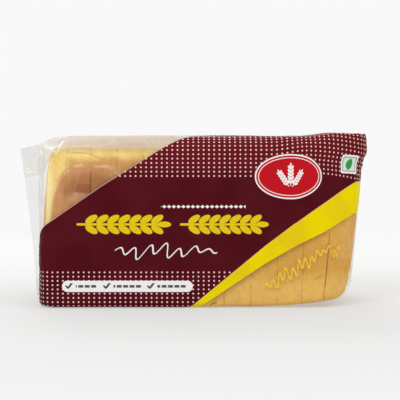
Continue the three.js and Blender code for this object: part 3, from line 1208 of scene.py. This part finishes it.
@dataclass
class Loaf:
    """The sliced loaf: twelve slices that keep the whole's shape."""

    form: BagForm
    left_x: float = -96.4
    right_x: float = 108.2
    half_depth: float = 50.4
    bottom: float = 0.15
    top: float = 103.4
    dome: float = 2.6
    dome_ease: float = 26.0
    slices: int = 12
    last_cut_x: float = 88.3
    pitch: float = 17.1
    gap: float = 0.04
    lean_height: float = 60.0
    left_lean: float = 0.075
    left_lean_start_x: float = -55.0
    push_zone: Pair = (56.0, 106.0)
    push_low_z: float = 6.0
    lift_end_x: float = 104.0
    lift_height: float = 45.0
    corner_radius: float = 11.0
    heel_radius: float = 10.0
    right_heel_radius: float = 8.0
    foot_radius: float = 2.4
    rim_radius: float = 0.12
    film_clearance: float = 1.9
    across_cuts: int = 26
    thick_cuts: int = 6

    @property
    def half_length(self) -> float:
        """Half the loaf's length."""
        return (self.right_x - self.left_x) / 2

    @property
    def middle_x(self) -> float:
        """The middle of the loaf along X."""
        return (self.right_x + self.left_x) / 2

    @property
    def half_height(self) -> float:
        """Half the loaf's height."""
        return (self.top - self.bottom) / 2

    @property
    def middle_z(self) -> float:
        """The middle of the loaf's height."""
        return (self.top + self.bottom) / 2

    def inset_at(self, x: float) -> float:
        """Returns how far the loaf's outline is drawn in at a place along it, round the ends."""
        ends = ((x - self.left_x, self.heel_radius), (self.right_x - x, self.right_heel_radius))
        for distance, radius in ends:
            if distance < radius:
                return radius - math.sqrt(max(0.0, radius ** 2 - (radius - distance) ** 2))
        return 0.0

    def section(self, across: float, up: float, inset: float) -> Pair:
        """Places a point of a square of -1 to 1 in the loaf's rounded section.

        Args:
            across: The point's place across the square.
            up: The point's place up the square.
            inset: How far the outline is drawn in.

        Returns:
            The place across and up, from the section's centre, in millimetres.
        """
        reach = max(abs(across), abs(up))
        if reach < 1e-9:
            return 0.0, 0.0
        half_y, half_z = self.half_depth - inset, self.half_height - inset
        corner = self.corner_radius if up > 0 else self.foot_radius
        radius = min(corner + inset * 0.6, half_y, half_z)
        y, z = across / reach * half_y, up / reach * half_z
        core_y = max(-half_y + radius, min(half_y - radius, y))
        core_z = max(-half_z + radius, min(half_z - radius, z))
        off = math.hypot(y - core_y, z - core_z)
        if off > 1e-9:
            y, z = core_y + (y - core_y) / off * radius, core_z + (z - core_z) / off * radius
        return y * reach, z * reach

    def domed(self, x: float) -> float:
        """Returns how much of the top's dome there is at a place along the loaf, less at its ends."""
        return 1 - (1 - unit(min(x - self.left_x, self.right_x - x) / self.dome_ease)) ** 2

    def settle(self, x: float, y: float, z: float) -> Vector:
        """Bends a point of the straight loaf to how it lies: ends leaning, and the right foot pushed in."""
        root, height = self.form.right_root, min(max(z, self.push_low_z), self.lean_height)
        pushed = (root(height) - root(self.lean_height)) * smooth(x, *self.push_zone)
        pushed += self.left_lean * (z - self.lean_height) * smooth(x, self.left_lean_start_x, self.left_x)
        lift = self.form.underside_at(min(x, self.lift_end_x)) * max(0.0, 1 - z / self.lift_height)
        room = self.form.half_depth_at(self.form.base_at(x + pushed, z)) - self.film_clearance
        return Vector((x + pushed, y * min(1.0, room / self.half_depth), z + lift))

    def slice_mesh(self, number: int) -> bmesh.types.BMesh:
        """Builds one slice.

        Args:
            number: Its place in the loaf, from 0 at the left.

        Returns:
            The slice, in metres.
        """
        outer_left, outer_right = number == 0, number == self.slices - 1
        cut = self.last_cut_x - (self.slices - 1 - number) * self.pitch
        start = self.left_x if outer_left else cut + self.gap / 2
        end = self.right_x if outer_right else cut + self.pitch - self.gap / 2
        bm = bmesh.new()
        bmesh.ops.create_cube(bm, size=2)
        for axis, cuts in ((0, self.thick_cuts), (1, self.across_cuts), (2, self.across_cuts)):
            for step in range(1, cuts):
                place, normal = Vector((0, 0, 0)), Vector((0, 0, 0))
                place[axis], normal[axis] = self.cut_place(step / cuts, axis), 1
                parts = [*bm.verts, *bm.edges, *bm.faces]
                bmesh.ops.bisect_plane(bm, geom=parts, plane_co=place, plane_no=normal, dist=1e-5)
        along = bm.verts.layers.float.new(LOAF_X)
        for part in bm.faces:
            at = part.calc_center_median().x
            cut_face = (at > 0.999 and not outer_right) or (at < -0.999 and not outer_left)
            part.material_index = 1 if cut_face else 0
            part.smooth = True
        for vert in bm.verts:
            across, up = vert.co.y, vert.co.z
            x = blend(start, end, (vert.co.x + 1) / 2)
            skin = max(abs(across), abs(up))
            at_cut = (vert.co.x > 0.999 and not outer_right) or (vert.co.x < -0.999 and not outer_left)
            inset = self.inset_at(x) + (self.rim_radius if at_cut and skin > 0.999 else 0)
            y, z = self.section(across, up, inset)
            bulge = self.dome * max(0.0, up) ** 2 * (1 - (y / self.half_depth) ** 2) * self.domed(x)
            z += self.middle_z + bulge
            rough = 0.5 * ripple(x / 16, y / 21 + z / 23, 2.0) + 0.12 * ripple(x / 4, y / 5 + z / 6, 5.0)
            centre = Vector((0, y, z - self.middle_z))
            if centre.length > 1:
                shift = centre.normalized() * (rough * (1 if skin > 0.97 else 0.2))
                y, z = y + shift.y, z + shift.z
            if abs(vert.co.x) > 0.999 and skin < 0.9:
                x += 0.25 * ripple(y / 9, z / 9, 20.0 + number * 3.7)
            vert[along] = x
            vert.co = self.settle(x, y, z) * MM
        for side in bm.edges:
            side.smooth = len({part.material_index for part in side.link_faces}) == 1
        bmesh.ops.recalc_face_normals(bm, faces=bm.faces)
        return bm

    def cut_place(self, share: float, axis: int) -> float:
        """Returns where a cut goes across a cube of -1 to 1, closer together near its rims.

        Args:
            share: How far across the cut is, from 0 to 1.
            axis: The axis that the cut is square to.

        Returns:
            The cut's place.
        """
        even = 2 * share - 1
        if axis == 0:
            return math.copysign(abs(even) ** 0.45, even) * 0.96 if abs(even) > 1e-9 else 0.0
        return math.sin(even * math.pi / 2) * 0.5 + even * 0.5

    def build(self, crust: bpy.types.Material, crumb: bpy.types.Material) -> list[bpy.types.Object]:
        """Builds every slice and dresses it.

        Args:
            crust: The crust's material.
            crumb: The crumb's material.

        Returns:
            The slices, from left to right.
        """
        made = [as_piece(self.slice_mesh(i), f"slice_{i + 1:02d}", crust, crumb) for i in range(self.slices)]
        for piece in made:
            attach(piece, BODY)
        return made


@dataclass
class Studio:
    """The floor, the light and the camera."""

    camera_distance: float = 0.900
    camera_height: float = 0.115
    aim_x: float = 0.0045
    aim_z: float = 0.0690
    front_y: float = CAD_BOX[0][1]
    frame_width: float = 0.255
    sensor: float = 36.0
    floor_size: float = 6.0
    floor_z: float = -0.0004
    background: float = 0.945
    floor_glow: float = 0.42
    floor_fade: Pair = (0.22, 0.62)
    floor_colour: Colour = (0.58, 0.58, 0.573)
    sky_low: float = 0.42
    sky_high: float = 1.0
    lamp_aim_z: float = 0.05

    def camera(self) -> None:
        """Places the camera at the photograph's viewing angle."""
        data = bpy.data.cameras.new("camera")
        data.sensor_width = self.sensor
        eye = Vector((self.aim_x, self.front_y - self.camera_distance, self.camera_height))
        aim = Vector((self.aim_x, self.front_y, self.aim_z))
        data.lens = self.sensor * (aim - eye).length / self.frame_width
        bpy.context.scene.camera = self.hang(data, eye, aim)

    def hang(self, data: Any, place: Vector, aim: Vector) -> bpy.types.Object:
        """Puts a camera or a lamp in the scene, turned to what it is aimed at.

        Args:
            data: The camera's or the lamp's data.
            place: Where it hangs.
            aim: What it is turned to.

        Returns:
            Its object.
        """
        made = bpy.data.objects.new(data.name, data)
        made.location = place
        made.rotation_euler = (aim - place).to_track_quat("-Z", "Y").to_euler()
        bpy.context.scene.collection.objects.link(made)
        return made

    def floor(self) -> None:
        """Lays the pale floor, which fades into the background away from the bag."""
        bm = bmesh.new()
        bmesh.ops.create_grid(bm, x_segments=1, y_segments=1, size=self.floor_size / 2)
        bmesh.ops.translate(bm, vec=(0, 0, self.floor_z), verts=bm.verts)
        made = bpy.data.materials.new("floor")
        nodes = Nodes(made)
        away = nodes.add("ShaderNodeVectorMath", {"operation": "LENGTH"}, {0: nodes.solid_place()})
        reach = Value(nodes, away.outputs["Value"])
        matt = nodes.add("ShaderNodeBsdfDiffuse", {}, {"Color": self.floor_colour})
        light = nodes.add("ShaderNodeEmission", {}, {"Color": (self.background,) * 3})
        share = reach.ramp(*self.floor_fade) * (1 - self.floor_glow) + self.floor_glow
        nodes.output(nodes.layer(share, matt.outputs[0], light.outputs[0]))
        piece = as_piece(bm, "floor", made)

    def sky(self) -> None:
        """Surrounds the bag with soft light, brighter from above, behind a plain pale background."""
        world = bpy.data.worlds.new("studio")
        bpy.context.scene.world = world
        nodes = Nodes(world)
        direction = nodes.add("ShaderNodeTexCoord").outputs["Generated"]
        split = nodes.add("ShaderNodeSeparateXYZ", {}, {0: direction})
        up = Value(nodes, split.outputs[2]).ramp(-0.1, 0.75)
        glow = nodes.mix(up, (self.sky_low,) * 3, (self.sky_high,) * 3)
        rays = nodes.add("ShaderNodeLightPath").outputs
        seen = Value(nodes, rays["Is Camera Ray"]).most(Value(nodes, rays["Is Glossy Ray"]))
        colour = nodes.mix(seen, glow, (self.background,) * 3)
        light = nodes.add("ShaderNodeBackground", {}, {"Color": colour})
        nodes.add("ShaderNodeOutputWorld", {}, {"Surface": light.outputs[0]})

    def lamp(
            self, name: str, place: tuple[float, float, float], size: float, power: float,
            glints: bool = True) -> None:
        """Hangs a soft square lamp that shines at the bag.

        Args:
            name: The lamp's name.
            place: Where it hangs.
            size: The length of its side.
            power: Its power in watts.
            glints: Whether glossy surfaces mirror it.
        """
        data = bpy.data.lights.new(name, "AREA")
        data.size = size
        data.energy = power
        made = self.hang(data, Vector(place), Vector((0, 0, self.lamp_aim_z)))
        made.visible_glossy = glints

    def build(self) -> None:
        """Builds the whole studio."""
        self.camera()
        self.floor()
        self.sky()
        self.lamp("key", (-0.55, -0.9, 1.1), 0.7, 7.0)
        self.lamp("fill", (0.9, -0.5, 0.7), 0.9, 3.0)
        self.lamp("back", (-0.12, 0.85, 0.62), 0.6, 6.5, glints=False)
        bpy.context.scene.view_settings.view_transform = "Standard"


def main() -> None:
    """Builds the film, the loaf and the studio, and reports each piece."""
    logging.basicConfig(level=logging.INFO, format="%(name)s: %(message)s")
    Studio().build()
    form = BagForm()
    loaf = Loaf(form)
    slices = loaf.build(BreadCrust().material(loaf), BreadCrumb().material())
    creases = [
        Crease((-97.0, 106.5), (-87.0, 99.0), 1.2, 0.7),
        Crease((-82.5, 107.5), (-86.8, 99.2), 1.1, 0.6),
        Crease((-99.0, 100.5), (-97.0, 98.5), 1.4, 0.5),
        Crease((-162.5, 88.2), (-156.5, 86.3), 1.2, 0.4),
        Crease((-162.5, 85.3), (-151.8, 84.5), 1.2, 0.5),
        Crease((-151.8, 84.5), (-147.5, 78.5), 1.2, 0.5),
        Crease((-101.0, 86.0), (-101.0, 74.0), 1.4, 0.4, 0.5),
    ]
    creases += fan(31, (form.flat_at(-100.1), 100.0), (-103.0, -92.0), (58.0, 108.0), 7)
    creases += fan(47, (form.flat_at(109.9), 8.0), (113.0, 106.0), (6.0, 52.0), 8)
    creases += fan(53, (form.flat_at(109.9), 96.0), (116.0, 108.0), (88.0, 116.0), 7)
    films = [FilmHalf(form, face, PrintedFilm(), ClearFilm(), creases=creases).build() for face in Face]
    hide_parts(SOLID_NODE)
    for piece in [*slices, *films]:
        LOG.info("%s: %d faces", piece.name, len(piece.data.polygons))


if __name__ == "__main__":
    main()
